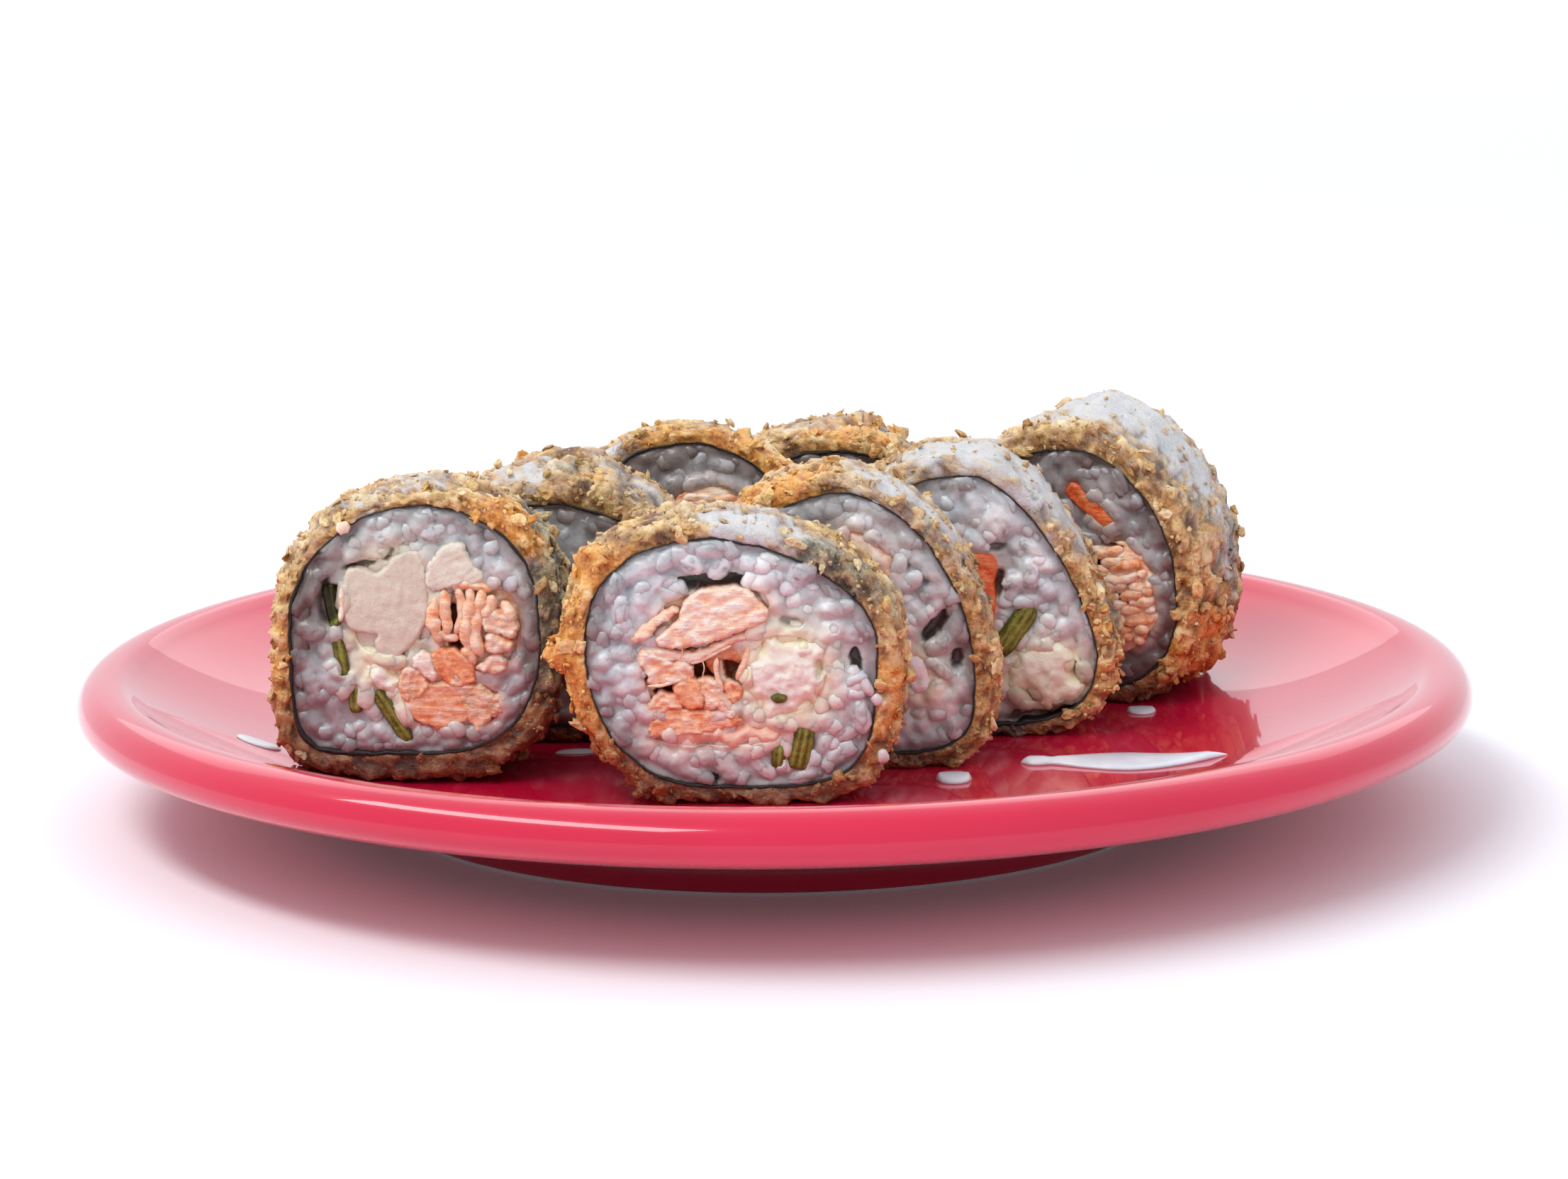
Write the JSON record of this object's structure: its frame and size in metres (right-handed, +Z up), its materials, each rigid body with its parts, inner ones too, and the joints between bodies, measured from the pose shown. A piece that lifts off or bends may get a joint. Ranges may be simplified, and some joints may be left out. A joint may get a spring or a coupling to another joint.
{
  "type": "fried sushi roll",
  "caption": "Crumb-fried sushi roll cut into thick slices standing in staggered rows on a round, red glazed plate with drops of white sauce.",
  "frame": {"origin": "middle of the plate's foot, on the plane that the plate rests on", "axes": "+Z up; the cut faces of the slices look towards -Y; +X is to the right as the faces are seen"},
  "size_m": [0.2, 0.2, 0.0542],
  "materials": {
    "glaze": "red glaze, high gloss",
    "coat": "golden fried crumb, dry and craggy",
    "seaweed": "dark toasted seaweed sheet, satin",
    "rice": "cooked rice, moist",
    "salmon": "cooked salmon, flaky and moist",
    "cream": "soft cream cheese, satin",
    "scallion": "dark green scallion strip, moist",
    "crab": "red-orange crab strip, moist",
    "white_fish": "translucent white fish, moist",
    "sauce": "white sauce, glossy"
  },
  "bodies": {
    "root": {"plate": "glaze", "sauce_dot": "sauce", "sauce_drop_front": "sauce", "sauce_drop_left": "sauce", "sauce_drop_right": "sauce", "sauce_smear": "sauce", "slice_1_coat": "coat", "slice_1_cream": "cream", "slice_1_rice": "rice", "slice_1_salmon": "salmon", "slice_1_salmon_slab": "salmon", "slice_1_salmon_smear": "salmon", "slice_1_scallion_1": "scallion", "slice_1_scallion_2": "scallion", "slice_1_seaweed": "seaweed", "slice_2_coat": "coat", "slice_2_cream_cheese": "cream", "slice_2_rice": "rice", "slice_2_salmon": "salmon", "slice_2_salmon_top": "salmon", "slice_2_seaweed": "seaweed", "slice_3_coat": "coat", "slice_3_crab": "crab", "slice_3_cream": "cream", "slice_3_rice": "rice", "slice_3_salmon": "salmon", "slice_3_scallion": "scallion", "slice_3_seaweed": "seaweed", "slice_4_coat": "coat", "slice_4_crab": "crab", "slice_4_cream": "cream", "slice_4_rice": "rice", "slice_4_salmon": "salmon", "slice_4_seaweed": "seaweed", "slice_5_coat": "coat", "slice_5_cream": "cream", "slice_5_rice": "rice", "slice_5_salmon": "salmon", "slice_5_salmon_low": "salmon", "slice_5_scallion_1": "scallion", "slice_5_scallion_2": "scallion", "slice_5_scallion_3": "scallion", "slice_5_scallion_4": "scallion", "slice_5_seaweed": "seaweed", "slice_5_white_fish": "white_fish", "slice_6_coat": "coat", "slice_6_cream": "cream", "slice_6_rice": "rice", "slice_6_salmon": "salmon", "slice_6_seaweed": "seaweed", "slice_7_coat": "coat", "slice_7_cream": "cream", "slice_7_rice": "rice", "slice_7_salmon": "salmon", "slice_7_seaweed": "seaweed", "slice_8_coat": "coat", "slice_8_cream": "cream", "slice_8_rice": "rice", "slice_8_salmon": "salmon", "slice_8_seaweed": "seaweed"}
  },
  "joints": []
}
